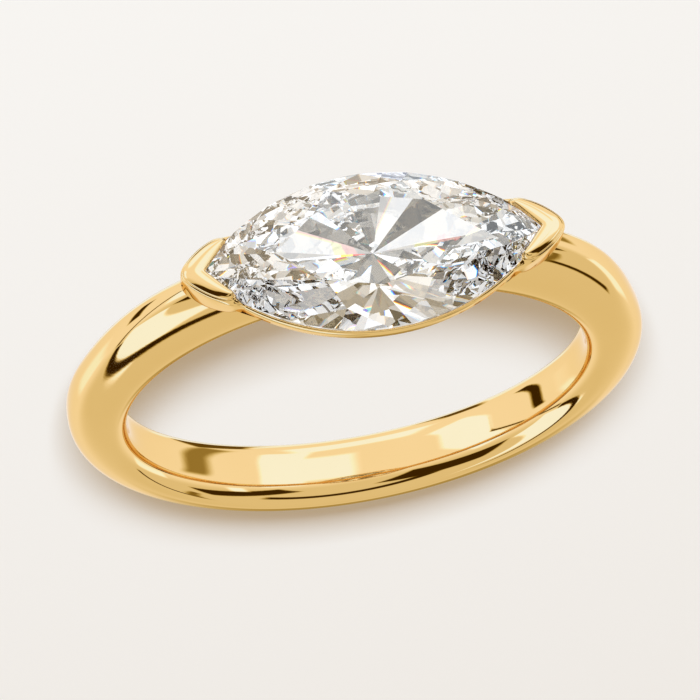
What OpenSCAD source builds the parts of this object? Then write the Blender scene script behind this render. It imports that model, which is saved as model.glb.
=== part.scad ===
// East west ring: a marquise cut stone set along a plain domed band, held at its two points
// by V claws that grow out of a slim gallery. It lies on its side, as a ring does on a table.
//
// The band, gallery and claws are worked out standing up: X runs along the stone,
// Y along the finger and Z from the finger up to the stone. The whole is then laid down.

/* [Finger hole] */
// Inside diameter of the band
finger_hole_d = 16.7; // [15:0.1:19]
// Length of the straight wall inside the band, along the finger
land_w = 0.9; // [0.6:0.1:1.2]

/* [Band] */
// Width along the finger at the back of the band
band_w_back = 2.5; // [2.2:0.1:3]
// Width along the finger under the stone
band_w_head = 1.7; // [1.5:0.1:2.2]
// Thickness at the back of the band
band_t_back = 1.75; // [1.4:0.05:2.2]
// Thickness under the stone, before the shoulders rise
band_t_head = 2.45; // [2:0.05:2.8]
// Extra thickness that lifts the shoulders to the gallery
shoulder_rise = 0.8; // [0.4:0.05:1]
// How far the rounded inner edges reach up the sides of the band
inner_edge_h = 0.6; // [0.4:0.05:0.8]
// Fullness of the domed outside: 2 is an ellipse, more is squarer
dome_power = 2.5; // [2:0.1:3]

/* [Stone] */
// Length of the stone, point to point
stone_l = 12; // [11:0.1:13]
// Width of the stone
stone_w = 5.85; // [5.4:0.05:6.2]
// Height of the crown above the girdle
crown_h = 0.85; // [0.7:0.05:1]
// Depth of the pavilion below the girdle
pavilion_h = 1.97; // [1.8:0.01:2.1]
// Thickness of the girdle
girdle_t = 0.16; // [0.14:0.01:0.24]
// Table size as a share of the stone's length and width
table_share = 0.58; // [0.5:0.01:0.65]
// How far down the crown the star facets reach
star_share = 0.45; // [0.4:0.01:0.6]
// How far down the pavilion the lower halves reach
lower_half_share = 0.78; // [0.7:0.01:0.85]

/* [Gallery and claws] */
// Height of the middle of the girdle above the centre of the finger hole
girdle_z = 10.45; // [10.4:0.05:10.8]
// Length of the gallery's outline, if its points were not blunted
gallery_l = 13.56; // [13.2:0.02:14]
// Length of the gallery over its blunted points
gallery_blunt_l = 13.4; // [13:0.02:13.9]
// Width of the gallery over its sides
gallery_w = 5.96; // [5.9:0.02:6.1]
// Height of the gallery rail below the girdle
rail_h = 0.45; // [0.3:0.05:0.6]
// Width of the rail beside the stone's widest part
rail_w = 0.55; // [0.4:0.05:0.8]
// Height of the claw tops above the middle of the girdle
claw_h = 0.35; // [0.3:0.01:0.5]
// How far the claws' walls reach below the middle of the girdle
claw_wall_h = 0.8; // [0.6:0.05:0.9]
// Distance from the centre of the stone to the corner of each claw's V notch
notch_x = 5.87; // [5.7:0.01:5.95]
// Half of the notch's opening angle
notch_half_angle = 50; // [45:1:55]
// Length of each claw arm from the corner of the notch
arm_l = 1.3; // [1:0.05:1.6]
// Bevel round the top of each claw
claw_bevel = 0.12; // [0.05:0.01:0.15]
// Fillet between a claw's arms and the rail
arm_fillet_r = 0.35; // [0.2:0.05:0.4]
// Clearance between the stone and the metal round it
seat_gap = 0.06; // [0.04:0.01:0.08]
// Diameter of the opening under the stone's lowest point
culet_hole_d = 0.9; // [0.6:0.1:1]

/* [Hidden] */
$fn = 96;
gold = [0.90, 0.72, 0.38];
clear_stone = [0.93, 0.95, 0.98, 0.6];

finger_r = finger_hole_d / 2;
girdle_bottom_z = girdle_z - girdle_t / 2;
rail_top_z = girdle_bottom_z - seat_gap;
rail_base_z = rail_top_z - rail_h;
claw_top_z = girdle_z + claw_h;
claw_base_z = girdle_z - claw_wall_h;
far = 30;

// Band sections: how many there are round the hoop, and points on half of each one
sections_round = 84;
inner_edge_steps = 3;
dome_steps = 8;
// The section starts this far inside the finger hole, which is bored out of it
bore_stock = [0.15, 0.36];
edge_start = [0.05, 0.12];
// Angles from the back of the band between which the shoulders rise
rise_from = 108;
rise_to = 150;

// Facets on the outlines of the stone and gallery, and on the bore
outline_fn = 240;
bore_fn = 180;
// How far one shape sinks into another that it is joined to, or a cutter runs past what it cuts
joint_overlap = 0.01;
cut_past = 1;
// The rough stone reaches this far beyond the cut one, above and below
rough_spare = 1;
cutter_size = 20;

// Necks under the claws: their reach along the gallery, how far they stand in from its outline,
// and the ball inside the shoulder that they grow out of
neck_from = 5.3;
neck_to = 6.55;
neck_inset_l = 0.3;
neck_inset_w = 0.2;
neck_slab_h = 0.05;
neck_root = [6.3, 0, 8.2];
neck_root_r = 0.7;

function smooth_step(s) = let (c = min(max(s, 0), 1)) c * c * (3 - 2 * c);
function head_share(angle) = (1 - cos(angle)) / 2;
function turn_from_back(angle) = angle > 180 ? 360 - angle : angle;
function shoulder(angle) =
    shoulder_rise * smooth_step((turn_from_back(angle) - rise_from) / (rise_to - rise_from));
function band_w(angle) = band_w_back + (band_w_head - band_w_back) * head_share(angle);
function band_t(angle) =
    band_t_back + (band_t_head - band_t_back) * head_share(angle) + shoulder(angle);

// Half of the band's section as [radius, distance along the finger], from the bore to the crest
function half_section(angle) =
    let (
        half_w = band_w(angle) / 2,
        start = [finger_r + edge_start[0], land_w / 2 + edge_start[1]],
        edge_r = finger_r + inner_edge_h,
        dome_h = band_t(angle) - inner_edge_h
    )
    concat(
        [[finger_r - bore_stock[0], land_w / 2 - bore_stock[1]]],
        [for (i = [0 : inner_edge_steps - 1])
            let (a = 90 * i / inner_edge_steps)
            [edge_r - (edge_r - start[0]) * cos(a), start[1] + (half_w - start[1]) * sin(a)]],
        [for (i = [0 : dome_steps])
            let (a = 90 * i / dome_steps)
            [edge_r + dome_h * pow(sin(a), 2 / dome_power), half_w * pow(cos(a), 2 / dome_power)]]
    );
// The whole section: one half, then its mirror image back to the bore without the crest
function whole_section(angle) =
    let (half = half_section(angle), last = len(half) - 1)
    concat(half, [for (i = [last - 1 : -1 : 0]) [half[i][0], -half[i][1]]]);

// The lowest that the back of the band reaches when the ring is laid down at a tilt
function back_depth(tilt) = max([for (p = half_section(0)) p[0] * sin(tilt) + p[1] * cos(tilt)]);
function head_depth(tilt) = gallery_w / 2 * cos(tilt) - rail_base_z * sin(tilt);
// The tilt at which the gallery and the back of the band touch the table together
function find_tilt(low, high, steps) =
    let (mid = (low + high) / 2)
    steps == 0 ? mid
    : head_depth(mid) > back_depth(mid) ? find_tilt(mid, high, steps - 1)
    : find_tilt(low, mid, steps - 1);
rest_tilt = find_tilt(0, 15, 24);

// Radius of each side of a marquise outline, and how far its centre lies beyond the middle
function side_r(l, w) = (l * l + w * w) / (4 * w);
function side_shift(l, w) = side_r(l, w) - w / 2;

// The stone, with the middle of its girdle at the origin
stone_r = side_r(stone_l, stone_w);
stone_shift = side_shift(stone_l, stone_w);
tip_angle = asin(stone_l / 2 / stone_r);
crown_base = girdle_t / 2;
table_z = crown_base + crown_h;
pavilion_base = -girdle_t / 2;
culet_z = pavilion_base - pavilion_h;

// Sixteen stations run round the girdle from one point of the stone. Even ones carry a main
// facet, odd ones lie between two.
function side_angle(k) = tip_angle * (1 - (k <= 8 ? k : 16 - k) / 4);
function side_sign(k) = k % 16 <= 8 ? 1 : -1;
function girdle_point(k, z) =
    let (m = k % 16, a = side_angle(m))
    [stone_r * sin(a), side_sign(m) * (stone_r * cos(a) - stone_shift), z];
function girdle_tangent(k) =
    let (m = k % 16, a = side_angle(m))
    m % 8 == 0 ? [0, 1, 0] : [cos(a), -side_sign(m) * sin(a), 0];
function table_point(k) =
    let (g = girdle_point(k, 0)) [g[0] * table_share, g[1] * table_share, table_z];

// A plane is [normal, distance], with the normal pointing away from inside
inside = [0, 0, 0];
function plane_of(point, along_a, along_b) =
    let (n = cross(along_a, along_b), u = n / norm(n), d = u * point)
    d < u * inside ? [-u, -d] : [u, d];
function plane_through(a, b, c) = plane_of(a, b - a, c - a);
// The point where two planes meet at height z
function meet_at(p, q, z) =
    let (
        a = p[0], b = q[0],
        e = p[1] - a[2] * z, f = q[1] - b[2] * z,
        det = a[0] * b[1] - a[1] * b[0]
    )
    [(e * b[1] - f * a[1]) / det, (a[0] * f - b[0] * e) / det, z];

function kite(k) =
    let (g = girdle_point(k, crown_base)) plane_of(g, girdle_tangent(k), table_point(k) - g);
function pavilion_main(k) =
    let (g = girdle_point(k, pavilion_base))
    plane_of(g, girdle_tangent(k), [0, 0, culet_z] - g);
function star_tip(k) = meet_at(kite(k - 1), kite(k + 1), table_z - star_share * crown_h);
function lower_tip(k) =
    meet_at(pavilion_main(k - 1), pavilion_main(k + 1), pavilion_base - lower_half_share * pavilion_h);

mains = [0 : 2 : 14];
betweens = [1 : 2 : 15];
facets = concat(
    [[[0, 0, 1], table_z]],
    [for (k = mains) kite(k)],
    [for (k = mains) pavilion_main(k)],
    [for (k = betweens) plane_through(table_point(k - 1), table_point(k + 1), star_tip(k))],
    [for (k = betweens, side = [-1, 1])
        plane_through(star_tip(k), girdle_point(k, crown_base), girdle_point(k + side, crown_base))],
    [for (k = betweens, side = [-1, 1])
        plane_through(lower_tip(k), girdle_point(k, pavilion_base),
            girdle_point(k + side, pavilion_base))]
);

// Where the sides of an outline meet: two discs set apart across the finger
module marquise_prism(l, w, h, bevel = 0) {
    r = side_r(l, w);
    intersection_for (side = [-1, 1])
        translate([0, side * side_shift(l, w), 0])
            bevelled_disc(r, h, bevel);
}

module bevelled_disc(r, h, bevel) {
    if (bevel > 0) {
        cylinder(r = r, h = h - bevel, $fn = outline_fn);
        translate([0, 0, h - bevel])
            cylinder(r1 = r, r2 = r - bevel, h = bevel, $fn = outline_fn);
    } else {
        cylinder(r = r, h = h, $fn = outline_fn);
    }
}

// All that lies beyond one facet of the stone
module beyond(facet, gap) {
    n = facet[0];
    half = cutter_size / 2;
    rotate([0, acos(n[2]), atan2(n[1], n[0])])
        translate([-half, -half, facet[1] + gap]) cube([cutter_size, cutter_size, half]);
}

// The rough stone, cut by one facet after another up to the one numbered last
module cut_up_to(last, gap) {
    if (last < 0) {
        rough_l = stone_l + 2 * gap / sin(tip_angle);
        rough_h = table_z - culet_z + 2 * rough_spare;
        translate([0, 0, culet_z - rough_spare])
            marquise_prism(rough_l, stone_w + 2 * gap, rough_h);
    } else {
        difference() {
            cut_up_to(last - 1, gap);
            beyond(facets[last], gap);
        }
    }
}

// The cut stone, grown all over by a gap when it is used to cut its own seat
module cut_stone(gap = 0) {
    cut_up_to(len(facets) - 1, gap);
}

module band() {
    profiles = [for (i = [0 : sections_round - 1]) whole_section(360 * i / sections_round)];
    count = len(profiles[0]);
    points = [for (i = [0 : sections_round - 1], p = profiles[i])
        let (a = 360 * i / sections_round) [p[0] * sin(a), p[1], -p[0] * cos(a)]];
    faces = [for (i = [0 : sections_round - 1], j = [0 : count - 1], half = [0, 1])
        let (
            next_i = (i + 1) % sections_round, next_j = (j + 1) % count,
            a = i * count + j, b = i * count + next_j,
            c = next_i * count + next_j, d = next_i * count + j
        )
        half == 0 ? [a, b, c] : [a, c, d]];
    polyhedron(points = points, faces = faces, convexity = 6);
}

// The part of the band that passes under the stone stays below the top of the rail
module band_under_stone() {
    difference() {
        band();
        translate([-far / 2, -far / 2, rail_base_z]) cube([far, far, far]);
    }
}

// A thin rail that stands out from the stone by the same distance all round
module gallery_rail() {
    stand_out = (gallery_w - stone_w) / 2;
    rail_l = stone_l + 2 * stand_out / sin(tip_angle);
    inner_w = gallery_w - 2 * rail_w;
    inner_l = 2 * (notch_x - rail_w);
    translate([0, 0, rail_base_z]) difference() {
        marquise_prism(rail_l, gallery_w, rail_h);
        translate([0, 0, -cut_past]) marquise_prism(inner_l, inner_w, rail_h + 2 * cut_past);
    }
}

// The solid outline over the whole gallery that both claws are cut from
module claw_block() {
    h = claw_top_z - claw_base_z;
    intersection() {
        marquise_prism(gallery_l, gallery_w, h, claw_bevel);
        bevelled_disc(gallery_blunt_l / 2, h, claw_bevel);
    }
}

// One V claw over the point of the stone that lies towards +X
module v_claw() {
    notch_run = 3;
    difference() {
        translate([0, 0, claw_base_z]) intersection() {
            claw_block();
            translate([notch_x, 0, 0]) union() {
                cylinder(r = arm_l, h = far);
                arm_fillet();
            }
        }
        translate([notch_x, 0, girdle_z]) linear_extrude(claw_h + cut_past)
            polygon([
                [0, 0],
                [-notch_run, notch_run * tan(notch_half_angle)],
                [-notch_run, -notch_run * tan(notch_half_angle)]
            ]);
    }
}

// A concave sweep from the ends of the arms down to the rail
module arm_fillet() {
    r = arm_fillet_r;
    translate([0, 0, rail_top_z - claw_base_z]) rotate_extrude()
        translate([arm_l - joint_overlap, -joint_overlap]) difference() {
            square(r);
            translate([r, r]) circle(r);
        }
}

// The neck that carries one end of the gallery on its shoulder
module neck() {
    hull() {
        translate([0, 0, claw_base_z]) intersection() {
            marquise_prism(gallery_l - neck_inset_l, gallery_w - neck_inset_w, neck_slab_h);
            translate([neck_from, -far / 2, 0]) cube([neck_to - neck_from, far, neck_slab_h]);
        }
        translate(neck_root) sphere(r = neck_root_r, $fn = 24);
    }
}

module mounting() {
    color(gold) rest() difference() {
        union() {
            band_under_stone();
            gallery_rail();
            for (turn = [0, 180]) rotate([0, 0, turn]) {
                v_claw();
                neck();
            }
        }
        translate([0, 0, girdle_z]) cut_stone(seat_gap);
        rotate([90, 0, 0]) cylinder(r = finger_r, h = far, center = true, $fn = bore_fn);
        cylinder(d = culet_hole_d, h = girdle_z);
    }
}

module marquise_stone() {
    color(clear_stone) rest() translate([0, 0, girdle_z]) cut_stone();
}

// Lays the ring on its side, with the stone towards -Y and the finger hole almost upright
module rest() {
    rotate([90 - rest_tilt, 0, 0]) children();
}

mounting();
marquise_stone();
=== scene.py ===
"""The look of an east west ring: a polished gold band and a marquise brilliant in two V claws.

The pieces are modelled standing up and in millimetres, as a jeweller draws a ring: X runs along the
stone, Y along the finger and Z from the finger up to the stone. Each finished piece is then laid
down on its side, in metres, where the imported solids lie.
"""

import logging
import math
from collections.abc import Callable, Iterable, Sequence
from dataclasses import dataclass, field
from enum import Enum

import bmesh
import bpy
from mathutils import Matrix, Vector


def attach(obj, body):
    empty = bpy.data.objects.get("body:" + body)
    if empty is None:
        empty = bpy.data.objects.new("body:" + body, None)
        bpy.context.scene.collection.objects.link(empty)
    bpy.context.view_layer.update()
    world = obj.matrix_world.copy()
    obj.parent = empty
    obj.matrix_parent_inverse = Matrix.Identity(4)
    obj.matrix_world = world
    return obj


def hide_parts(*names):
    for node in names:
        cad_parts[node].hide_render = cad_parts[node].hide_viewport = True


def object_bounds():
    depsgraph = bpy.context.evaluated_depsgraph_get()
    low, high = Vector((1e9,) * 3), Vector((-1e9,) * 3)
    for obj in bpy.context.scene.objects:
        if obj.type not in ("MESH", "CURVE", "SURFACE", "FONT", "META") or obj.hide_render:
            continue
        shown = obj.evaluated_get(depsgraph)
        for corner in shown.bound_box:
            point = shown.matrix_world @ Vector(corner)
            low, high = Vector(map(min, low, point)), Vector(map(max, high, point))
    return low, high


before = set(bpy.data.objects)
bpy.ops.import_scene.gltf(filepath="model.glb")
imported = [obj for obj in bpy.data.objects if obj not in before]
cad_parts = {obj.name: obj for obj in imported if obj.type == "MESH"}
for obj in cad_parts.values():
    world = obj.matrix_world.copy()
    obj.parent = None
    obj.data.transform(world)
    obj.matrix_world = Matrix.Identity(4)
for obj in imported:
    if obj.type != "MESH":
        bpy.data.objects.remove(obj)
cad_low, cad_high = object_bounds()

LOG = logging.getLogger("ring")
MM = 0.001
BODY = "root"
REST_TILT = math.radians(5.227)
AXIS_X = Vector((1, 0, 0))
AXIS_Y = Vector((0, 1, 0))
AXIS_Z = Vector((0, 0, 1))

Ring = list[Vector]


class Slot(Enum):
    """The record's material slots that the pieces take their finish from."""

    GOLD = "yellow_gold"
    STONE = "cut_stone"


class Node(Enum):
    """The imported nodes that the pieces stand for."""

    MOUNTING = "mounting"
    STONE = "marquise_stone"


def smooth_step(share: float) -> float:
    """Return an S curve from 0 to 1, held at its ends."""
    held = min(max(share, 0.0), 1.0)
    return held * held * (3 - 2 * held)


def mix(low: float, high: float, share: float) -> float:
    """Return the value that lies a share of the way from low to high."""
    return low + (high - low) * share


def begin_edit(piece: bpy.types.Object) -> bmesh.types.BMesh:
    """Open one piece, and only that one, in edit mode.

    Args:
        piece: The mesh object to work on.

    Returns:
        The mesh as it stands in edit mode.
    """
    bpy.ops.object.select_all(action="DESELECT")
    bpy.context.view_layer.objects.active = piece
    piece.select_set(True)
    bpy.ops.object.mode_set(mode="EDIT")
    return bmesh.from_edit_mesh(piece.data)


def end_edit() -> None:
    """Go back to object mode."""
    bpy.ops.object.mode_set(mode="OBJECT")


def select_edges(piece: bpy.types.Object, wanted: Callable[[bmesh.types.BMEdge], bool]) -> int:
    """Select the edges of the piece in edit mode that pass a test, and nothing else.

    Args:
        piece: The piece that is open in edit mode.
        wanted: The test for one edge.

    Returns:
        How many edges were selected.
    """
    bpy.ops.mesh.select_mode(type="EDGE")
    bpy.ops.mesh.select_all(action="DESELECT")
    mesh = bmesh.from_edit_mesh(piece.data)
    found = [edge for edge in mesh.edges if wanted(edge)]
    for edge in found:
        edge.select_set(True)
    bmesh.update_edit_mesh(piece.data)
    return len(found)


def apply_modifier(piece: bpy.types.Object, kind: str, **settings: object) -> None:
    """Add a modifier to a piece and apply it at once.

    Args:
        piece: The piece to change.
        kind: The modifier's type, such as SUBSURF.
        settings: Values for the modifier's own fields.
    """
    bpy.ops.object.select_all(action="DESELECT")
    bpy.context.view_layer.objects.active = piece
    piece.select_set(True)
    modifier = piece.modifiers.new(kind.lower(), kind)
    for name, value in settings.items():
        setattr(modifier, name, value)
    bpy.ops.object.modifier_apply(modifier=modifier.name)


def subdivide_smoothly(piece: bpy.types.Object, levels: int) -> None:
    """Round a coarse cage into its smooth surface."""
    apply_modifier(piece, "SUBSURF", levels=levels, render_levels=levels)


def lay_down(piece: bpy.types.Object) -> None:
    """Turn a piece from its upright drawing to where it lies, and from millimetres to metres."""
    bpy.ops.object.select_all(action="DESELECT")
    bpy.context.view_layer.objects.active = piece
    piece.select_set(True)
    piece.rotation_euler = (math.pi / 2 - REST_TILT, 0, 0)
    piece.scale = (MM, MM, MM)
    bpy.ops.object.transform_apply(location=True, rotation=True, scale=True)


def face_outwards(piece: bpy.types.Object, merge_within: float = 1e-4) -> None:
    """Merge doubled points and make every face of a closed piece look outwards."""
    begin_edit(piece)
    bpy.ops.mesh.select_all(action="SELECT")
    bpy.ops.mesh.remove_doubles(threshold=merge_within)
    bpy.ops.mesh.normals_make_consistent(inside=False)
    end_edit()


@dataclass
class Loft:
    """A skin that is drawn from one closed ring of points to the next.

    Attributes:
        name: The finished piece's name.
        rings: Rings of points in millimetres, all with the same number of points.
        joins_up: True where the last ring meets the first, as round a hoop.
        open_end: True where the last ring is left open, to be closed in another way.
    """

    name: str
    rings: list[Ring]
    joins_up: bool = False
    open_end: bool = False

    def build(self) -> bpy.types.Object:
        """Extrude the first ring through all the others and close the ends.

        Returns:
            The closed mesh, upright and in millimetres.
        """
        count = len(self.rings[0])
        bpy.ops.object.select_all(action="DESELECT")
        bpy.ops.mesh.primitive_circle_add(vertices=count, radius=1, fill_type="NOTHING")
        piece = bpy.context.active_object
        piece.name = piece.data.name = self.name
        mesh = begin_edit(piece)
        mesh.verts.ensure_lookup_table()
        for vert, place in zip(mesh.verts, self._in_turn(mesh, self.rings[0])):
            vert.co = place
        bpy.ops.mesh.select_mode(type="VERT")
        bpy.ops.mesh.select_all(action="SELECT")
        for before, after in zip(self.rings, self.rings[1:]):
            bpy.ops.mesh.extrude_edges_move()
            self._move_open_end(piece, before, after)
        self._close(piece)
        end_edit()
        face_outwards(piece)
        return piece

    def _in_turn(self, mesh: bmesh.types.BMesh, ring: Ring) -> Ring:
        """Return the ring's points in the order in which the circle's own points follow round."""
        return [ring[vert.index] for vert in mesh.verts]

    def _move_open_end(self, piece: bpy.types.Object, before: Ring, after: Ring) -> None:
        """Move the points that were just extruded from where they lay to the next ring."""
        mesh = bmesh.from_edit_mesh(piece.data)
        mesh.verts.ensure_lookup_table()
        places = {tuple(Vector(point).to_tuple(4)): place for point, place in zip(before, after)}
        for vert in mesh.verts[-len(before):]:
            vert.co = places[vert.co.to_tuple(4)]
        bmesh.update_edit_mesh(piece.data)

    def _close(self, piece: bpy.types.Object) -> None:
        """Bridge the last ring to the first, or put a face over each end."""
        first = {tuple(Vector(point).to_tuple(4)) for point in self.rings[0]}

        def is_open(edge: bmesh.types.BMEdge) -> bool:
            at_start = all(vert.co.to_tuple(4) in first for vert in edge.verts)
            return edge.is_boundary and (at_start or not self.open_end)

        select_edges(piece, is_open)
        if self.joins_up:
            bpy.ops.mesh.bridge_edge_loops()
        else:
            bpy.ops.mesh.edge_face_add()


@dataclass
class Outline:
    """A marquise outline in plan: two arcs that meet in a point at each end.

    Attributes:
        length: Point to point, in millimetres.
        width: Over the sides, in millimetres.
    """

    length: float
    width: float

    @property
    def radius(self) -> float:
        """Radius of both side arcs."""
        return (self.length**2 + self.width**2) / (4 * self.width)

    @property
    def shift(self) -> float:
        """How far each arc's centre lies beyond the middle line."""
        return self.radius - self.width / 2

    @property
    def tip_angle(self) -> float:
        """Half of the angle that each side arc turns through."""
        return math.asin(self.length / 2 / self.radius)

    def half_width(self, x: float) -> float:
        """Distance from the middle line to the side at x."""
        return math.sqrt(self.radius**2 - x**2) - self.shift

    def normal(self, x: float) -> Vector:
        """Outward direction of the +Y side at x."""
        return Vector((x, self.half_width(x) + self.shift, 0)) / self.radius


@dataclass
class Band:
    """The hoop, from the back of the finger up both shoulders and under the stone.

    All sizes are in millimetres.
    """

    finger_r: float = 8.35
    land_w: float = 0.9
    width_back: float = 2.5
    width_head: float = 1.7
    thickness_back: float = 1.75
    thickness_head: float = 2.45
    shoulder_rise: float = 0.8
    rise_from: float = 108
    rise_to: float = 150
    inner_edge_h: float = 0.6
    dome_power: float = 2.5
    stations: int = 120
    edge_steps: int = 4
    dome_steps: int = 9
    smooth_levels: int = 2
    top_z: float = 9.9

    def build(self, stone: "MarquiseStone") -> bpy.types.Object:
        """Sweep the hoop, cut it level under the gallery and sink the stone's seat into it.

        Args:
            stone: The stone, which cuts its own seat.

        Returns:
            The finished hoop, laid down.
        """
        angles = [math.tau * i / self.stations for i in range(self.stations)]
        band = Loft("band", [self._ring(angle) for angle in angles], joins_up=True).build()
        subdivide_smoothly(band, self.smooth_levels)
        begin_edit(band)
        bpy.ops.mesh.select_all(action="SELECT")
        bpy.ops.mesh.bisect(
            plane_co=(0, 0, self.top_z), plane_no=AXIS_Z, use_fill=True, clear_outer=True, threshold=1e-5
        )
        end_edit()
        stone.cut_seat(band)
        lay_down(band)
        return band

    def _ring(self, angle: float) -> Ring:
        """Return the section at an angle from the back, as points round it."""
        half = self._half_section(angle)
        whole = half + [(radius, -side) for radius, side in reversed(half[1:-1])]
        return [
            Vector((radius * math.sin(angle), side, -radius * math.cos(angle)))
            for radius, side in whole
        ]

    def _half_section(self, angle: float) -> list[tuple[float, float]]:
        """Return half a section as (radius, distance along the finger), from bore to crest.

        Args:
            angle: Turn from the back of the hoop, in radians.

        Returns:
            Points from the middle of the bore round the side to the crest.
        """
        half_w = self._width(angle) / 2
        half_land = self.land_w / 2
        edge_r = self.finger_r + self.inner_edge_h
        dome_h = self._thickness(angle) - self.inner_edge_h
        land = [(self.finger_r, 0.0), (self.finger_r, half_land * 0.55)]
        edge = [
            (
                edge_r - self.inner_edge_h * math.cos(turn),
                half_land + (half_w - half_land) * math.sin(turn),
            )
            for turn in quarter_turns(self.edge_steps)[:-1]
        ]
        dome = [
            (
                edge_r + dome_h * math.sin(turn) ** (2 / self.dome_power),
                half_w * math.cos(turn) ** (2 / self.dome_power),
            )
            for turn in quarter_turns(self.dome_steps)
        ]
        return land + edge + dome

    def _width(self, angle: float) -> float:
        """Width along the finger at an angle from the back."""
        return mix(self.width_back, self.width_head, (1 - math.cos(angle)) / 2)

    def _thickness(self, angle: float) -> float:
        """Thickness at an angle from the back, with the shoulders' rise."""
        turn = math.degrees(min(angle, math.tau - angle))
        rise = smooth_step((turn - self.rise_from) / (self.rise_to - self.rise_from))
        plain = mix(self.thickness_back, self.thickness_head, (1 - math.cos(angle)) / 2)
        return plain + self.shoulder_rise * rise


def quarter_turns(steps: int) -> list[float]:
    """Return evenly spaced angles from 0 to a right angle."""
    return [math.pi / 2 * i / steps for i in range(steps + 1)]


@dataclass
class MarquiseStone:
    """A marquise brilliant, cut from its rough by one plane for each facet.

    All sizes are in millimetres.
    """

    length: float = 12.0
    width: float = 5.85
    crown_h: float = 0.85
    pavilion_h: float = 1.97
    girdle_t: float = 0.16
    table_share: float = 0.58
    star_share: float = 0.45
    lower_half_share: float = 0.78
    girdle_z: float = 10.45
    seat_gap: float = 0.04
    girdle_steps: int = 64
    pavilion_stations: int = 32
    rough_spare: float = 1.0

    def __post_init__(self) -> None:
        """Work out the outline and the heights that the facets run between."""
        self.outline = Outline(self.length, self.width)
        self.crown_base = self.girdle_t / 2
        self.table_z = self.crown_base + self.crown_h
        self.pavilion_base = -self.girdle_t / 2
        self.culet_z = self.pavilion_base - self.pavilion_h

    def build(self) -> bpy.types.Object:
        """Cut the stone and lay it down.

        Returns:
            The finished stone.
        """
        stone = self._cut("brilliant", 0)
        lay_down(stone)
        return stone

    def cut_seat(self, metal: bpy.types.Object) -> None:
        """Cut the stone's seat into an upright piece, with a little clearance all round."""
        cutter = self._cut("seat_cutter", self.seat_gap)
        apply_modifier(metal, "BOOLEAN", operation="DIFFERENCE", solver="EXACT", object=cutter)
        bpy.data.objects.remove(cutter)

    def _cut(self, name: str, gap: float) -> bpy.types.Object:
        """Cut every facet from the rough, moved outwards by a gap."""
        stone = self._rough(name, gap)
        begin_edit(stone)
        for normal, distance in self._facets():
            bpy.ops.mesh.select_all(action="SELECT")
            bpy.ops.mesh.bisect(
                plane_co=normal * (distance + gap) + AXIS_Z * self.girdle_z,
                plane_no=normal,
                use_fill=True,
                clear_outer=True,
                threshold=1e-5,
            )
        end_edit()
        face_outwards(stone)
        return stone

    def _rough(self, name: str, gap: float) -> bpy.types.Object:
        """Raise the marquise outline into a prism, taller than the stone."""
        outline = Outline(
            self.length + 2 * gap / math.sin(self.outline.tip_angle), self.width + 2 * gap
        )
        steps = self.girdle_steps
        turns = [outline.tip_angle * (1 - 2 * i / steps) for i in range(steps)]
        side = [
            Vector((outline.radius * math.sin(t), outline.radius * math.cos(t) - outline.shift, 0))
            for t in turns
        ]
        plan = side + [Vector((-point.x, -point.y, 0)) for point in side]
        low = self.girdle_z + self.culet_z - self.rough_spare
        high = self.girdle_z + self.table_z + self.rough_spare
        rings = [[point + AXIS_Z * level for point in plan] for level in (low, high)]
        return Loft(name, rings).build()

    def _girdle_point(self, station: int, z: float, count: int = 16) -> Vector:
        """Return one of the places round the girdle; even ones carry a main facet."""
        turn, side = self._turn(station, count)
        reach = self.outline.radius * math.cos(turn) - self.outline.shift
        return Vector((self.outline.radius * math.sin(turn), side * reach, z))

    def _girdle_run(self, station: int, count: int = 16) -> Vector:
        """Return the direction in which the girdle runs at a station."""
        if station % (count // 2) == 0:
            return AXIS_Y
        turn, side = self._turn(station, count)
        return Vector((math.cos(turn), -side * math.sin(turn), 0))

    def _turn(self, station: int, count: int) -> tuple[float, int]:
        """Return where a station lies on its side's arc, and on which side it lies."""
        k, half = station % count, count // 2
        turn = self.outline.tip_angle * (1 - (k if k <= half else count - k) * 2 / half)
        return turn, 1 if k <= half else -1

    def _table_point(self, station: int) -> Vector:
        """Return the corner of the table above a station."""
        point = self._girdle_point(station, 0) * self.table_share
        return Vector((point.x, point.y, self.table_z))

    def _kite(self, station: int) -> "Plane":
        """Return a bezel facet of the crown."""
        point = self._girdle_point(station, self.crown_base)
        return plane_of(point, self._girdle_run(station), self._table_point(station) - point)

    def _pavilion_main(self, station: int) -> "Plane":
        """Return a main facet of the pavilion, which runs down to the culet."""
        point = self._girdle_point(station, self.pavilion_base, self.pavilion_stations)
        run = self._girdle_run(station, self.pavilion_stations)
        return plane_of(point, run, Vector((0, 0, self.culet_z)) - point)

    def _facets(self) -> list["Plane"]:
        """Return the planes of the table, kites, mains, stars, upper halves and lower halves."""
        star_z = self.table_z - self.star_share * self.crown_h
        lower_z = self.pavilion_base - self.lower_half_share * self.pavilion_h
        facets = [(AXIS_Z, self.table_z)]
        facets += [self._kite(k) for k in range(0, 16, 2)]
        facets += [self._pavilion_main(k) for k in range(0, self.pavilion_stations, 2)]
        for k in range(1, 16, 2):
            star_tip = meet_at(self._kite(k - 1), self._kite(k + 1), star_z)
            facets.append(
                plane_through(self._table_point(k - 1), self._table_point(k + 1), star_tip)
            )
            facets += self._halves(k, star_tip, self.crown_base, 16)
        for k in range(1, self.pavilion_stations, 2):
            tip = meet_at(self._pavilion_main(k - 1), self._pavilion_main(k + 1), lower_z)
            facets += self._halves(k, tip, self.pavilion_base, self.pavilion_stations)
        return facets

    def _halves(self, station: int, tip: Vector, level: float, count: int) -> list["Plane"]:
        """Return the two half facets that run from the girdle beside a station to a tip."""
        middle = self._girdle_point(station, level, count)
        beside = [self._girdle_point(station + step, level, count) for step in (-1, 1)]
        return [plane_through(tip, middle, corner) for corner in beside]


Plane = tuple[Vector, float]


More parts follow.
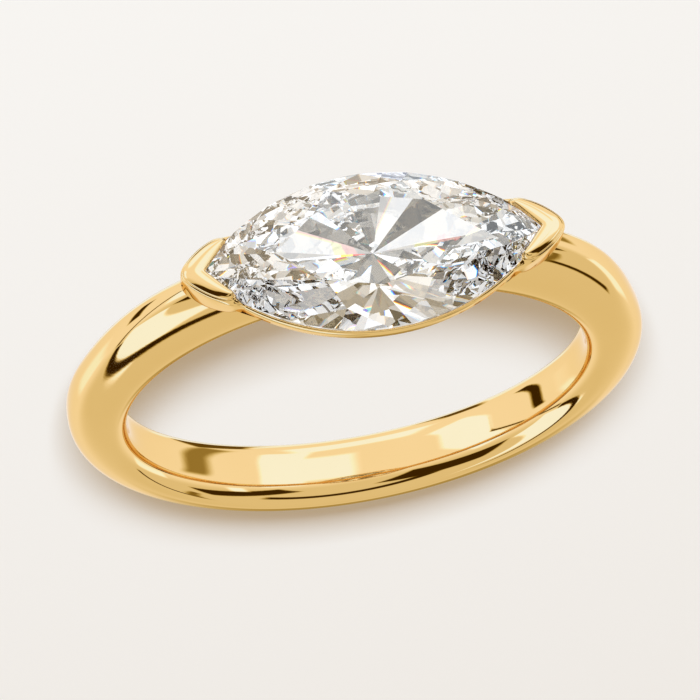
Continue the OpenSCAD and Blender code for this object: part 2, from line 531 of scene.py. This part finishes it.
def plane_of(point: Vector, along_a: Vector, along_b: Vector) -> Plane:
    """Return a plane through a point along two directions, with its normal away from the origin.

    Args:
        point: Any point on the plane.
        along_a: One direction in the plane.
        along_b: Another direction in the plane.

    Returns:
        The unit normal and the plane's distance from the origin.
    """
    normal = along_a.cross(along_b).normalized()
    distance = normal.dot(point)
    return (normal, distance) if distance > 0 else (-normal, -distance)


def plane_through(a: Vector, b: Vector, c: Vector) -> Plane:
    """Return the plane through three points."""
    return plane_of(a, b - a, c - a)


def meet_at(first: Plane, second: Plane, z: float) -> Vector:
    """Return the point at height z where two planes cross."""
    (a, d), (b, e) = first, second
    rest_a, rest_b = d - a.z * z, e - b.z * z
    scale = a.x * b.y - a.y * b.x
    return Vector(((rest_a * b.y - rest_b * a.y) / scale, (a.x * rest_b - b.x * rest_a) / scale, z))


@dataclass
class Rail:
    """The slim rail that runs round the stone under its girdle. All sizes are in millimetres."""

    outline: Outline = field(default_factory=lambda: Outline(12.0, 5.85))
    hug_gap: float = 0.055
    width: float = 0.5
    base_z: float = 9.86
    top_z: float = 10.31
    edge_r: float = 0.04
    side_steps: int = 48

    def build(self, stone: "MarquiseStone") -> bpy.types.Object:
        """Draw the rail and sink the stone's seat into it.

        Args:
            stone: The stone, which cuts its own seat.

        Returns:
            The finished rail, laid down.
        """
        outer, inner, soft = self.hug_gap, self.hug_gap - self.width, self.edge_r
        profile = (
            (outer - soft, self.base_z),
            (outer, self.base_z + soft),
            (outer, self.top_z - soft),
            (outer - soft, self.top_z),
            (inner, self.top_z),
            (inner, self.base_z),
        )
        rail = Loft("rail", [self._loop(grow, z) for grow, z in profile], joins_up=True).build()
        stone.cut_seat(rail)
        lay_down(rail)
        return rail

    def _loop(self, grow: float, z: float) -> Ring:
        """Return the stone's outline grown by a distance, as points at a height."""
        grown = Outline(
            self.outline.length + 2 * grow / math.sin(self.outline.tip_angle),
            self.outline.width + 2 * grow,
        )
        turns = [grown.tip_angle * (1 - 2 * i / self.side_steps) for i in range(self.side_steps)]
        side = [
            Vector((grown.radius * math.sin(t), grown.radius * math.cos(t) - grown.shift, z))
            for t in turns
        ]
        return side + [Vector((-point.x, -point.y, z)) for point in side]


@dataclass(frozen=True)
class Level:
    """One level of a claw's skin, from its foot to its cap.

    Attributes:
        z: Height above the middle of the girdle.
        out: How far the outside stands out from the cap's outline.
        reach: Where the arms end, along the stone.
        inn: How far the inside stands out into the notch.
        roll: Share of the way that the outside has rolled over to the cap's crest.
        edge_roll: Share of the way that the notch's edge has rolled over to the crest.
        crease: How sharp the level's line stays.
    """

    z: float
    out: float = 0.0
    reach: float = 5.06
    inn: float = 0.0
    roll: float = 0.0
    edge_roll: float = 0.0
    crease: float = 0.0


# From the foot up the wall, over the rolled rim and onto the pillowed cap, in millimetres
CLAW_LEVELS = (
    Level(-1.05, -0.02, 4.6, crease=1),
    Level(-0.95, 0.06, 4.55),
    Level(-0.60, 0.10, 4.5),
    Level(-0.30, 0.125, 4.5),
    Level(-0.12, 0.13, 4.6),
    Level(-0.04, 0.13, 4.74),
    Level(0.02, 0.13, 4.87),
    Level(0.08, 0.128, 4.97),
    Level(0.13, 0.115, 5.04),
    Level(0.165, 0.085),
    Level(0.175, 0.055, crease=0.9),
    Level(0.225, 0.045),
    Level(0.262, 0.03, inn=-0.004, roll=0.06),
    Level(0.302, 0.02, roll=0.18, edge_roll=0.06),
    Level(0.336, roll=0.38, edge_roll=0.14),
    Level(0.362, roll=0.6, edge_roll=0.3),
    Level(0.376, roll=0.82, edge_roll=0.6),
)


@dataclass
class Claw:
    """One V claw over a point of the stone, with its two arms and the ramps down to the rail.

    Its skin is drawn in levels from the foot to the cap. All sizes are in millimetres.
    """

    name: str
    side: int
    stone_outline: Outline = field(default_factory=lambda: Outline(12.0, 5.85))
    girdle_z: float = 10.45
    corner_x: float = 5.87
    arm_end: tuple[float, float] = (5.06, 0.94)
    # The cap's outline from the nose to the arm's end: along the stone, away from its middle
    # line, and the share of the arm at which the notch's edge lies across from it
    outline: tuple[tuple[float, float, float], ...] = (
        (6.60, 0.00, 0.0),
        (6.55, 0.17, 0.08),
        (6.37, 0.39, 0.24),
        (6.11, 0.63, 0.42),
        (5.83, 0.84, 0.60),
        (5.56, 0.99, 0.77),
        (5.34, 1.085, 0.91),
        (5.18, 1.11, 0.98),
        (5.08, 1.06, 1.0),
    )
    moving_from: int = 5
    crest_share: float = 0.58
    hug_gap: float = 0.055
    sink: float = 0.03
    stand_out: float = 0.45
    stand_from: float = 4.7
    stand_to: float = 5.4
    inner_depth: float = 0.1
    foot_from: float = -0.4
    foot_rise: float = 0.75
    foot_power: float = 4
    blend_from: float = 4.66
    smooth_levels: int = 3

    def build(self, stone: MarquiseStone) -> bpy.types.Object:
        """Draw the claw level by level and sink the stone's seat into it.

        Args:
            stone: The stone, which cuts its own seat.

        Returns:
            The finished claw, laid down.
        """
        claw = Loft(self.name, [self._level(level) for level in CLAW_LEVELS], open_end=True).build()
        self._close_cap(claw)
        self._crease(claw)
        subdivide_smoothly(claw, self.smooth_levels)
        stone.cut_seat(claw)
        lay_down(claw)
        return claw

    def _close_cap(self, claw: bpy.types.Object) -> None:
        """Bridge the last level from its outer side to its inner side."""
        begin_edit(claw)
        select_edges(claw, lambda edge: edge.is_boundary and not self._joins_sides(edge))
        bpy.ops.mesh.bridge_edge_loops()
        end_edit()
        face_outwards(claw)

    def _joins_sides(self, edge: bmesh.types.BMEdge) -> bool:
        """Tell whether an edge of the last level closes the end of an arm."""
        ring = self._level(CLAW_LEVELS[-1])
        half = len(ring) // 2
        pairs = ((ring[0], ring[-1]), (ring[half - 1], ring[half]))
        spots = [vert.co for vert in edge.verts]
        return any(
            all(min((spot - end).length for end in pair) < 1e-3 for spot in spots) for pair in pairs
        )

    def _crease(self, claw: bpy.types.Object) -> None:
        """Keep the notch's corner, the cap's groove and the foot sharp under smoothing."""
        heights = {level.z + self.girdle_z: level.crease for level in CLAW_LEVELS if level.crease}
        begin_edit(claw)
        for height, crease in heights.items():

            def lies_level(edge: bmesh.types.BMEdge) -> bool:
                return all(abs(vert.co.z - height) < 1e-3 for vert in edge.verts)

            select_edges(claw, lies_level)
            bpy.ops.transform.edge_crease(value=crease)

        def in_corner(edge: bmesh.types.BMEdge) -> bool:
            ends = [vert.co for vert in edge.verts]
            inside = all(abs(end.y) < 1e-3 and abs(end.x) < self.corner_x + 0.05 for end in ends)
            return inside and abs(ends[0].z - ends[1].z) > 1e-3

        select_edges(claw, in_corner)
        bpy.ops.transform.edge_crease(value=1)
        end_edit()

    def _level(self, level: Level) -> Ring:
        """Return one level's points: out round the outside, then back along the notch."""
        half = [self._outer(i, level.reach) for i in range(len(self.outline))]
        edge = [self._inner(i, level.reach) for i in range(len(self.outline))]
        outer = [Vector((x, -y)) for x, y in reversed(half)] + [Vector(p) for p in half[1:]]
        inner = [Vector(p) for p in reversed(edge)] + [Vector((x, -y)) for x, y in edge[1:]]
        ring = outer + inner
        moved = []
        for i, point in enumerate(ring):
            run = ring[(i + 1) % len(ring)] - ring[i - 1]
            way_out = Vector((run.y, -run.x)).normalized()
            grow = level.out if i < len(outer) or i in (len(outer), len(ring) - 1) else level.inn
            moved.append(point + way_out * grow)
        rolls = [level.roll] * len(outer) + [level.edge_roll] * len(inner)
        crest = self._crest(outer, inner)
        placed = [point.lerp(top, roll) for point, top, roll in zip(moved, crest, rolls)]
        last = len(half) - 1
        steps = [abs(i - last) for i in range(len(outer))]
        return [
            Vector((self.side * point.x, point.y, self._height(level.z, step / last)))
            for point, step in zip(placed, steps + steps)
        ]

    def _height(self, z: float, share: float) -> float:
        """Return a height on the wall, whose foot rises along the arms towards the rail."""
        low = min(z - self.foot_from, 0)
        return self.girdle_z + max(z, self.foot_from) + low * (1 - self.foot_rise * share**self.foot_power)

    def _crest(self, outer: list[Vector], inner: list[Vector]) -> list[Vector]:
        """Return the point of the cap's crest across from each point of a level."""
        across = [a.lerp(b, self.crest_share) for a, b in zip(outer, reversed(inner))]
        across[0], across[-1] = across[1], across[-2]
        return across + list(reversed(across))

    def _outer(self, station: int, reach: float) -> tuple[float, float]:
        """Return the outside's point at a station, on an arm that reaches along the stone."""
        x, y, _ = self.outline[station]
        if station <= self.moving_from:
            return x, y
        moved = self._moved(x, reach)
        return self._settled((moved, self._hugging(moved)), (x, y), reach)

    def _inner(self, station: int, reach: float) -> tuple[float, float]:
        """Return the notch side's point at a station, on an arm that reaches along the stone."""
        share = self.outline[station][2]
        x, y = mix(self.corner_x, self.arm_end[0], share), self.arm_end[1] * share
        if station <= self.moving_from:
            return x, y
        moved = self._moved(x, reach)
        beside = self.stone_outline.half_width(moved) - self.inner_depth
        return self._settled((moved, beside), (x, y), reach)

    def _settled(
        self, ramp: tuple[float, float], cap: tuple[float, float], reach: float
    ) -> tuple[float, float]:
        """Return a point between its place on the ramp and its place under the cap."""
        share = smooth_step((reach - self.blend_from) / (self.arm_end[0] - self.blend_from))
        return mix(ramp[0], cap[0], share), mix(ramp[1], cap[1], share)

    def _moved(self, x: float, reach: float) -> float:
        """Return x spread out between the arm's root and where it reaches to."""
        root = self.outline[self.moving_from][0]
        end = self.arm_end[0]
        return root - (root - x) * (root - reach) / (root - end)

    def _hugging(self, x: float) -> float:
        """Return how far the wall lies from the middle line where it comes in to the rail."""
        apart = smooth_step((x - self.stand_from) / (self.stand_to - self.stand_from))
        gap = mix(self.hug_gap - self.sink, self.hug_gap + self.stand_out, apart)
        return self.stone_outline.half_width(x) + gap - 0.1


@dataclass
class Neck:
    """The short flare that carries one end of the gallery on its shoulder.

    All sizes are in millimetres.
    """

    name: str
    side: int
    outline: Outline = field(default_factory=lambda: Outline(13.4, 5.3))
    tip_x: float = 6.55
    root_x: float = 4.2
    top_z: float = 9.9
    depth: float = 0.95
    low_half_w: float = 0.62
    levels: int = 8
    stations: int = 12

    def build(self, stone: MarquiseStone) -> bpy.types.Object:
        """Draw the flare down from the gallery's outline into the shoulder.

        Args:
            stone: The stone, which cuts its own seat.

        Returns:
            The finished neck, laid down.
        """
        neck = Loft(self.name, [self._ring(i / self.levels) for i in range(self.levels + 1)]).build()
        begin_edit(neck)
        select_edges(neck, lambda edge: edge.calc_face_angle(0) > math.radians(50))
        bpy.ops.transform.edge_crease(value=1)
        end_edit()
        subdivide_smoothly(neck, 2)
        stone.cut_seat(neck)
        lay_down(neck)
        return neck

    def _ring(self, share: float) -> Ring:
        """Return the flare's outline a share of the way down, which narrows as a fillet does."""
        flare = 1 - math.sqrt(1 - (1 - share) ** 2)
        z = self.top_z - self.depth * share
        xs = [mix(self.root_x, self.tip_x, math.sin(turn)) for turn in quarter_turns(self.stations)]
        side = []
        for x in xs:
            wide = self.outline.half_width(min(x, self.tip_x))
            narrow = min(self.low_half_w, wide)
            side.append(Vector((self.side * x, mix(narrow, wide, flare), z)))
        return side + [Vector((point.x, -point.y, z)) for point in reversed(side)]


@dataclass(frozen=True)
class PolishedGold:
    """Yellow gold with a bright polish: fine wheel marks and a faint drift of colour."""

    name: str = "polished_gold"
    color: tuple[float, float, float] = (0.86, 0.60, 0.26)
    warm_color: tuple[float, float, float] = (0.83, 0.56, 0.22)
    edge_color: tuple[float, float, float] = (0.9, 0.8, 0.62)
    smoothest: float = 0.02
    roughest: float = 0.055

    def build(self) -> bpy.types.Material:
        """Return the material."""
        material, tree, shader = new_material(self.name)
        shader.inputs["Metallic"].default_value = 1.0
        shader.inputs["Specular Tint"].default_value = (*self.edge_color, 1)
        polish = tree.nodes.new("ShaderNodeGroup")
        polish.node_tree = polish_group()
        polish.inputs["Smoothest"].default_value = self.smoothest
        polish.inputs["Roughest"].default_value = self.roughest
        tree.links.new(polish.outputs["Roughness"], shader.inputs["Roughness"])
        color = tree.nodes.new("ShaderNodeMix")
        color.data_type = "RGBA"
        color.inputs["A"].default_value = (*self.color, 1)
        color.inputs["B"].default_value = (*self.warm_color, 1)
        tree.links.new(polish.outputs["Drift"], color.inputs["Factor"])
        tree.links.new(color.outputs["Result"], shader.inputs["Base Color"])
        bump = tree.nodes.new("ShaderNodeBump")
        bump.inputs["Strength"].default_value = 0.02
        bump.inputs["Distance"].default_value = 0.00002
        tree.links.new(polish.outputs["Height"], bump.inputs["Height"])
        tree.links.new(bump.outputs["Normal"], shader.inputs["Normal"])
        return material


@dataclass(frozen=True)
class ClearStone:
    """A colourless cut stone with polished facets."""

    name: str = "clear_stone"
    color: tuple[float, float, float] = (1.0, 0.995, 0.985)
    sheen_color: tuple[float, float, float] = (1.0, 0.8, 0.5)
    ior: float = 2.417

    def build(self) -> bpy.types.Material:
        """Return the material."""
        material, tree, shader = new_material(self.name)
        shader.inputs["Transmission Weight"].default_value = 1.0
        shader.inputs["IOR"].default_value = self.ior
        shader.inputs["Base Color"].default_value = (*self.color, 1)
        shader.inputs["Specular Tint"].default_value = (*self.sheen_color, 1)
        polish = tree.nodes.new("ShaderNodeGroup")
        polish.node_tree = polish_group()
        polish.inputs["Smoothest"].default_value = 0.0
        polish.inputs["Roughest"].default_value = 0.004
        tree.links.new(polish.outputs["Roughness"], shader.inputs["Roughness"])
        return material


def new_material(name: str) -> tuple[bpy.types.Material, bpy.types.NodeTree, bpy.types.Node]:
    """Return a new material, its node tree and its Principled shader."""
    material = bpy.data.materials.new(name)
    material.use_nodes = True
    tree = material.node_tree
    return material, tree, tree.nodes["Principled BSDF"]


def math_node(
    tree: bpy.types.NodeTree,
    operation: str,
    first: bpy.types.NodeSocket,
    second: "bpy.types.NodeSocket | float | None" = None,
) -> bpy.types.NodeSocket:
    """Return the result of a Math node on one or two values.

    Args:
        tree: The node tree to add it to.
        operation: What the node does, such as MULTIPLY.
        first: The first value.
        second: The second value, as a socket or a number.

    Returns:
        The node's output.
    """
    node = tree.nodes.new("ShaderNodeMath")
    node.operation = operation
    tree.links.new(first, node.inputs[0])
    if isinstance(second, bpy.types.NodeSocket):
        tree.links.new(second, node.inputs[1])
    elif second is not None:
        node.inputs[1].default_value = second
    return node.outputs[0]


def polish_group() -> bpy.types.NodeTree:
    """Return the node group for a polished surface, which is made on its first use.

    Returns:
        A group with Roughness, Height and Drift outputs that vary over the surface.
    """
    name = "polish"
    if name in bpy.data.node_groups:
        return bpy.data.node_groups[name]
    group = bpy.data.node_groups.new(name, "ShaderNodeTree")
    for socket, value in (("Smoothest", 0.03), ("Roughest", 0.1)):
        made = group.interface.new_socket(socket, in_out="INPUT", socket_type="NodeSocketFloat")
        made.default_value = value
    for socket in ("Roughness", "Height", "Drift"):
        group.interface.new_socket(socket, in_out="OUTPUT", socket_type="NodeSocketFloat")
    nodes, links = group.nodes, group.links
    source, sink = nodes.new("NodeGroupInput"), nodes.new("NodeGroupOutput")
    place = nodes.new("ShaderNodeTexCoord")
    cloudy, fine = nodes.new("ShaderNodeTexNoise"), nodes.new("ShaderNodeTexNoise")
    cloudy.inputs["Scale"].default_value = 260
    cloudy.inputs["Detail"].default_value = 3
    fine.inputs["Scale"].default_value = 5200
    fine.inputs["Detail"].default_value = 2
    spread = nodes.new("ShaderNodeMapRange")
    for noise in (cloudy, fine):
        links.new(place.outputs["Object"], noise.inputs["Vector"])
    links.new(cloudy.outputs["Fac"], spread.inputs["Value"])
    spread.inputs["From Min"].default_value = 0.3
    spread.inputs["From Max"].default_value = 0.7
    links.new(source.outputs["Smoothest"], spread.inputs["To Min"])
    links.new(source.outputs["Roughest"], spread.inputs["To Max"])
    links.new(spread.outputs["Result"], sink.inputs["Roughness"])
    links.new(fine.outputs["Fac"], sink.inputs["Height"])
    links.new(cloudy.outputs["Fac"], sink.inputs["Drift"])
    return group


@dataclass(frozen=True)
class Patch:
    """One soft edged patch of the studio that the gold mirrors.

    Attributes:
        azimuth: Where its middle lies round the ring, in degrees from +X towards +Y.
        elevation: How high its middle lies, in degrees.
        width: How wide it is, in degrees.
        height: How high it is, in degrees.
        light: How bright it is.
        roll: How far it is turned about its middle, in degrees.
        softness: How far its edges fade, in degrees.
    """

    azimuth: float
    elevation: float
    width: float
    height: float
    light: float
    roll: float = 0.0
    softness: float = 5.0

    def axes(self) -> tuple[Vector, Vector, Vector]:
        """Return the directions of its middle, its width and its height."""
        turn, rise = math.radians(self.azimuth), math.radians(self.elevation)
        middle = Vector(
            (math.cos(rise) * math.cos(turn), math.cos(rise) * math.sin(turn), math.sin(rise))
        )
        level = Vector((-math.sin(turn), math.cos(turn), 0))
        spin = Matrix.Rotation(math.radians(self.roll), 3, middle)
        return middle, spin @ level, spin @ middle.cross(level)


# Soft lights, dark flags and the bright sweep under the ring, as the polished gold mirrors them
MIRRORED = (
    Patch(40, 38, 62, 24, 1.75, roll=22, softness=4),
    Patch(58, 31, 58, 5, 0.02, roll=21, softness=2),
    Patch(125, 34, 4, 20, 0.03, softness=2),
    Patch(139, 44, 26, 4, 0.2, roll=-4, softness=3),
    Patch(147, 10, 26, 12, 1.5),
    Patch(40, -12, 14, 24, 1.4, softness=8),
    Patch(98, -14, 12, 50, 0.45, softness=8),
    Patch(100, -60, 46, 34, 1.7, softness=10),
    Patch(14, -31, 8, 22, 0.03, softness=3),
    Patch(183, -32, 16, 32, 0.3, softness=8),
    Patch(150, -56, 28, 18, 0.1, softness=4),
    Patch(40, -71, 26, 11, 0.1, softness=4),
    Patch(233, -17, 20, 46, 2.0, softness=7),
    Patch(331, -13, 22, 44, 2.0, roll=-28, softness=7),
    Patch(270, -57, 46, 24, 1.8, softness=10),
    Patch(255, -14, 28, 18, 1.6, softness=8),
    Patch(320, 41, 54, 30, 0.03, roll=15, softness=4),
    Patch(258, 70, 60, 14, 0.03, softness=4),
    Patch(204, 34, 56, 18, 0.03, roll=-14, softness=4),
    Patch(5, -3, 58, 3, 0.05, roll=35, softness=2),
    Patch(206, 18, 9, 14, 1.6),
)


@dataclass
class Studio:
    """A pale room with soft lights, a floor and a camera with a long lens."""

    room_light: float = 0.52
    room_color: tuple[float, float, float] = (1.0, 0.77, 0.51)
    sky_light: float = 0.86
    sweep_light: float = 1.12
    key_azimuth: float = 276
    key_elevation: float = 21
    key_power: float = 13.95
    key_color: tuple[float, float, float] = (0.93, 1.15, 1.4)
    blockers: str = "casts_shadow"
    fire_scale: float = 5.5
    fire_spread: float = 0.25
    fire_turn: float = 70
    floor_size: float = 3.0
    floor_color: tuple[float, float, float] = (0.92, 0.9, 0.87)

    def build(self) -> None:
        """Build the room, the floor, the lamps and the camera."""
        self._room()
        self._floor()
        self._key_light()
        self._camera()
        scene = bpy.context.scene
        scene.view_settings.view_transform = "Standard"
        scene.cycles.max_bounces = 24
        scene.cycles.transmission_bounces = 20
        scene.cycles.glossy_bounces = 20

    def _room(self) -> None:
        """Light the ring from a pale room, which the gold and the stone each see in their way."""
        world = bpy.data.worlds.new("studio")
        bpy.context.scene.world = world
        world.use_nodes = True
        tree = world.node_tree
        look = tree.nodes.new("ShaderNodeTexCoord").outputs["Generated"]
        path = tree.nodes.new("ShaderNodeLightPath")
        plain = tree.nodes.new("ShaderNodeRGB").outputs[0]
        plain.default_value = (*(self.room_light * c for c in self.room_color), 1)
        seen = self._blend(tree, path.outputs["Is Glossy Ray"], plain, self._mirrored(tree, look))
        seen = self._blend(tree, path.outputs["Is Transmission Ray"], seen, self._fire(tree, look))
        tree.links.new(seen, tree.nodes["Background"].inputs["Color"])

    def _blend(
        self,
        tree: bpy.types.NodeTree,
        share: bpy.types.NodeSocket,
        first: bpy.types.NodeSocket,
        second: bpy.types.NodeSocket,
    ) -> bpy.types.NodeSocket:
        """Return a colour that goes from the first to the second by a share."""
        laid = tree.nodes.new("ShaderNodeMix")
        laid.data_type = "RGBA"
        tree.links.new(share, laid.inputs["Factor"])
        tree.links.new(first, laid.inputs["A"])
        tree.links.new(second, laid.inputs["B"])
        return laid.outputs["Result"]

    def _mirrored(
        self, tree: bpy.types.NodeTree, look: bpy.types.NodeSocket
    ) -> bpy.types.NodeSocket:
        """Return the room as the gold mirrors it.

        Bright patches turn paler and dark ones warmer, as on film.
        """
        height = tree.nodes.new("ShaderNodeSeparateXYZ")
        tree.links.new(look, height.inputs[0])
        level = tree.nodes.new("ShaderNodeMapRange")
        level.interpolation_type = "SMOOTHSTEP"
        level.inputs["From Min"].default_value = 0.05
        level.inputs["From Max"].default_value = 0.4
        level.inputs["To Min"].default_value = self.sweep_light
        level.inputs["To Max"].default_value = self.sky_light
        tree.links.new(height.outputs["Z"], level.inputs["Value"])
        light = level.outputs["Result"]
        for patch in MIRRORED:
            light = self._add_patch(tree, look, light, patch)
        film = tree.nodes.new("ShaderNodeCombineColor")
        for channel, power, most in (("Red", 0.85, 1.13), ("Green", 1.05, 1.47), ("Blue", 1.95, 2.4)):
            bent = math_node(tree, "MINIMUM", math_node(tree, "POWER", light, power), most)
            tree.links.new(bent, film.inputs[channel])
        return film.outputs["Color"]

    def _fire(self, tree: bpy.types.NodeTree, look: bpy.types.NodeSocket) -> bpy.types.NodeSocket:
        """Return the room as it is seen through the stone, spread a little into its colours."""
        sky = tree.nodes.new("ShaderNodeCombineColor")
        for channel, turn, tint in (("Red", -1, 1.04), ("Green", 0, 0.985), ("Blue", 1, 0.91)):
            spun = tree.nodes.new("ShaderNodeVectorRotate")
            spun.rotation_type = "AXIS_ANGLE"
            spun.inputs["Axis"].default_value = (0.5, 0.3, 0.8)
            spun.inputs["Angle"].default_value = math.radians(self.fire_turn + self.fire_spread * turn)
            tree.links.new(look, spun.inputs["Vector"])
            cells = tree.nodes.new("ShaderNodeTexVoronoi")
            cells.inputs["Scale"].default_value = self.fire_scale
            tree.links.new(spun.outputs["Vector"], cells.inputs["Vector"])
            ramp = tree.nodes.new("ShaderNodeValToRGB")
            ramp.color_ramp.interpolation = "CONSTANT"
            stops = ramp.color_ramp.elements
            stops[0].color = (0.04, 0.04, 0.04, 1)
            stops[1].position, stops[1].color = 0.2, (0.25, 0.25, 0.25, 1)
            for position, tone in ((0.36, 0.6), (0.55, 0.95), (0.8, 1.3)):
                stop = stops.new(position)
                stop.color = (tone, tone, tone, 1)
            part = tree.nodes.new("ShaderNodeSeparateColor")
            tree.links.new(cells.outputs["Color"], part.inputs["Color"])
            tree.links.new(part.outputs["Red"], ramp.inputs["Fac"])
            bent = math_node(tree, "POWER", ramp.outputs["Color"], 1 / tint)
            tinted = math_node(tree, "MULTIPLY", bent, tint)
            tree.links.new(tinted, sky.inputs[channel])
        return sky.outputs["Color"]

    def _add_patch(
        self,
        tree: bpy.types.NodeTree,
        look: bpy.types.NodeSocket,
        light: bpy.types.NodeSocket,
        patch: Patch,
    ) -> bpy.types.NodeSocket:
        """Lay one patch over the room's brightness.

        Args:
            tree: The world's node tree.
            look: The direction that is looked in.
            light: The brightness so far.
            patch: The patch to lay over it.

        Returns:
            The brightness with the patch in it.
        """
        middle, across, up = patch.axes()
        ahead = math_node(tree, "GREATER_THAN", self._dot(tree, look, middle), 0.0)
        mask = ahead
        for along, span in ((across, patch.width), (up, patch.height)):
            mask = math_node(tree, "MULTIPLY", mask, self._strip(tree, look, along, span, patch))
        laid = tree.nodes.new("ShaderNodeMix")
        tree.links.new(mask, laid.inputs["Factor"])
        tree.links.new(light, laid.inputs["A"])
        laid.inputs["B"].default_value = patch.light
        return laid.outputs["Result"]

    def _dot(
        self, tree: bpy.types.NodeTree, look: bpy.types.NodeSocket, along: Vector
    ) -> bpy.types.NodeSocket:
        """Return how far the looked in direction points along another."""
        dot = tree.nodes.new("ShaderNodeVectorMath")
        dot.operation = "DOT_PRODUCT"
        dot.inputs[1].default_value = along
        tree.links.new(look, dot.inputs[0])
        return dot.outputs["Value"]

    def _strip(
        self,
        tree: bpy.types.NodeTree,
        look: bpy.types.NodeSocket,
        along: Vector,
        span: float,
        patch: Patch,
    ) -> bpy.types.NodeSocket:
        """Return a mask that is 1 within half a span to both sides and fades beyond."""
        away = math_node(tree, "ABSOLUTE", self._dot(tree, look, along))
        fade = tree.nodes.new("ShaderNodeMapRange")
        fade.interpolation_type = "SMOOTHSTEP"
        inner = max(span - patch.softness, 0) / 2
        fade.inputs["From Min"].default_value = math.sin(math.radians(inner))
        fade.inputs["From Max"].default_value = math.sin(math.radians(inner + patch.softness))
        fade.inputs["To Min"].default_value = 1
        fade.inputs["To Max"].default_value = 0
        tree.links.new(away, fade.inputs["Value"])
        return fade.outputs["Result"]

    def _floor(self) -> None:
        """Lay the pale floor that the ring rests on."""
        bpy.ops.object.select_all(action="DESELECT")
        bpy.ops.mesh.primitive_plane_add(size=self.floor_size, location=(0, 0, cad_low.z))
        floor = bpy.context.active_object
        floor.name = "floor"
        bpy.ops.object.transform_apply(location=True)
        material, tree, shader = new_material("pale_floor")
        shader.inputs["Base Color"].default_value = (*self.floor_color, 1)
        shader.inputs["Roughness"].default_value = 0.9
        shader.inputs["Specular IOR Level"].default_value = 0.1
        path = tree.nodes.new("ShaderNodeLightPath")
        through = tree.nodes.new("ShaderNodeBsdfTransparent")
        mixed = tree.nodes.new("ShaderNodeMixShader")
        tree.links.new(path.outputs["Is Camera Ray"], mixed.inputs["Fac"])
        tree.links.new(through.outputs[0], mixed.inputs[1])
        tree.links.new(shader.outputs[0], mixed.inputs[2])
        tree.links.new(mixed.outputs[0], tree.nodes["Material Output"].inputs["Surface"])
        floor.data.materials.append(material)

    def _key_light(self) -> None:
        """Set one soft low lamp on the camera's side, whose shadow falls behind the hoop."""
        lamp = bpy.data.lights.new("key", "AREA")
        lamp.shape = "RECTANGLE"
        lamp.size, lamp.size_y = 0.3, 0.14
        lamp.energy = self.key_power
        key = bpy.data.objects.new("key", lamp)
        bpy.context.scene.collection.objects.link(key)
        turn, rise = math.radians(self.key_azimuth), math.radians(self.key_elevation)
        key.location = (
            math.cos(rise) * math.cos(turn), math.cos(rise) * math.sin(turn), math.sin(rise)
        )
        key.rotation_euler = (Vector((0, 0, 0)) - key.location).to_track_quat("-Z", "Y").to_euler()
        key.visible_glossy = False
        key.visible_transmission = False
        lamp.color = self.key_color
        key.light_linking.blocker_collection = bpy.data.collections.new(self.blockers)

    def _camera(self) -> None:
        """Set the camera at the photograph's angle to the ring, turned as the ring lies."""
        camera = bpy.data.objects.new("camera", bpy.data.cameras.new("camera"))
        camera.data.lens = 315.48
        camera.data.sensor_width = 36
        camera.data.clip_start = 0.01
        right = Vector((-0.98261, -0.04506, 0.18011))
        up = Vector((-0.13569, -0.48786, -0.86231))
        back = Vector((0.12672, -0.87176, 0.47327))
        turn = Matrix((right, up, back)).transposed().to_4x4()
        camera.matrix_world = Matrix.Translation(Vector((0.02792, -0.19220, 0.10335))) @ turn
        bpy.context.scene.collection.objects.link(camera)
        bpy.context.scene.camera = camera


@dataclass
class EastWestRing:
    """The whole ring: its gold pieces and its stone."""

    band: Band = field(default_factory=Band)
    rail: Rail = field(default_factory=Rail)
    stone: MarquiseStone = field(default_factory=MarquiseStone)

    def build(self) -> None:
        """Build each piece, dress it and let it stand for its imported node."""
        gold = PolishedGold().build()
        clear = ClearStone().build()
        metal = [self.band.build(self.stone), self.rail.build(self.stone)]
        for place, side in (("left", 1), ("right", -1)):
            metal.append(Neck(f"neck_{place}", side).build(self.stone))
            metal.append(Claw(f"claw_{place}", side).build(self.stone))
        bpy.data.collections[Studio.blockers].objects.link(metal[0])
        for piece in metal:
            piece.visible_transmission = False
            piece.visible_diffuse = False
            self._dress(piece, gold, Node.MOUNTING, smooth_above=60)
        stone = self.stone.build()
        stone.visible_diffuse = False
        self._dress(stone, clear, Node.STONE, smooth_above=3)

    def _dress(
        self,
        piece: bpy.types.Object,
        material: bpy.types.Material,
        node: Node,
        smooth_above: float,
    ) -> None:
        """Give a piece its finish and its place in the model.

        Args:
            piece: The finished piece.
            material: Its material.
            node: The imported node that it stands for.
            smooth_above: Edges that turn by less than this many degrees are shaded smooth.
        """
        piece.data.materials.clear()
        piece.data.materials.append(material)
        bpy.ops.object.select_all(action="DESELECT")
        bpy.context.view_layer.objects.active = piece
        piece.select_set(True)
        bpy.ops.object.shade_smooth_by_angle(angle=math.radians(smooth_above))
        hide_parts(node.value)
        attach(piece, BODY)
        LOG.info("%s: %d faces", piece.name, len(piece.data.polygons))


def main() -> None:
    """Build the studio and the ring, and report each piece."""
    logging.basicConfig(level=logging.INFO, format="%(name)s: %(message)s")
    Studio().build()
    EastWestRing().build()


if __name__ == "__main__":
    main()
